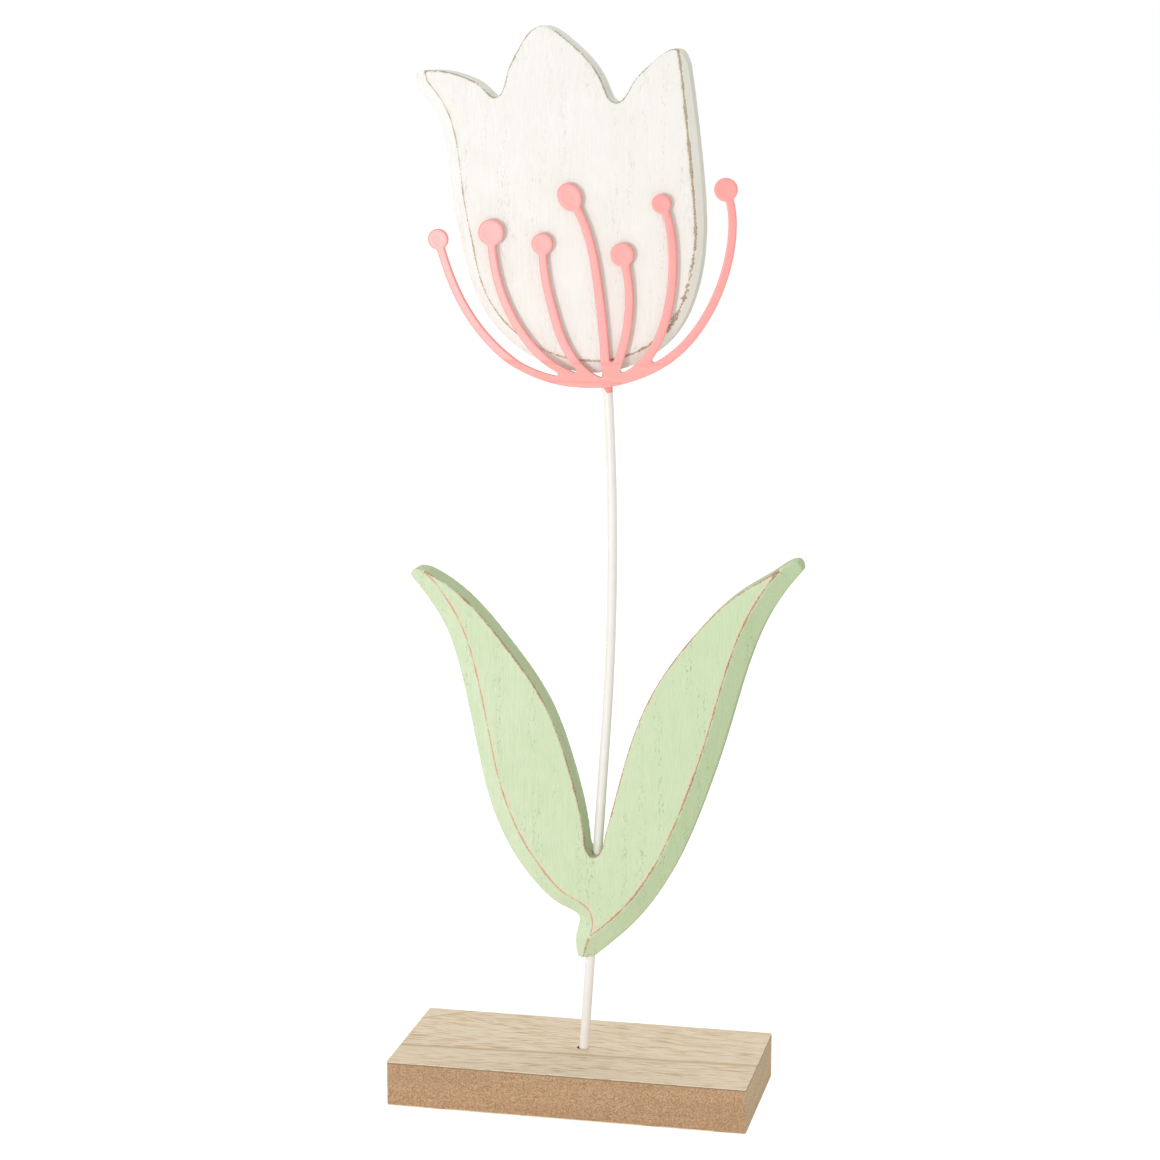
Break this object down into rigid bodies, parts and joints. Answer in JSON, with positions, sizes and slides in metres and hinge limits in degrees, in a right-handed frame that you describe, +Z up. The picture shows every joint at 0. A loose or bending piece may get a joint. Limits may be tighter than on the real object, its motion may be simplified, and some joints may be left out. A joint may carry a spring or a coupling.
{
  "type": "standing wooden flower ornament",
  "caption": "Painted wooden tulip on a wire stem with a pair of leaves, plugged into a veneered block that it stands on; the stem turns in its socket.",
  "frame": {"origin": "centre of the block's underside", "axes": "+Z up, -Y the way the flower faces, +X along the block's width, to the right of someone facing the flower"},
  "size_m": [0.1653, 0.068, 0.4383],
  "materials": {
    "mdf": "raw sawn fibreboard edge",
    "veneer": "plain oiled veneer",
    "cream_lacquer": "satin lacquer",
    "green_paint": "matt paint, sanded through at the edges",
    "white_paint": "matt paint, sanded through at the edges",
    "pink_paint": "satin paint"
  },
  "bodies": {
    "base": {"base_core": "mdf", "base_top_veneer": "veneer", "base_bottom_veneer": "veneer"},
    "stem": {"stem_wire": "cream_lacquer", "leaf_pair": "green_paint", "flower_head": "white_paint", "stamen_spray": "pink_paint", "weld_bead": "pink_paint"}
  },
  "joints": [
    {"name": "stem_turn", "type": "hinge", "parent": "base", "child": "stem", "pos_m": [0.0005, 0, 0.0188], "axis": [0, 0, 1], "continuous": true}
  ]
}
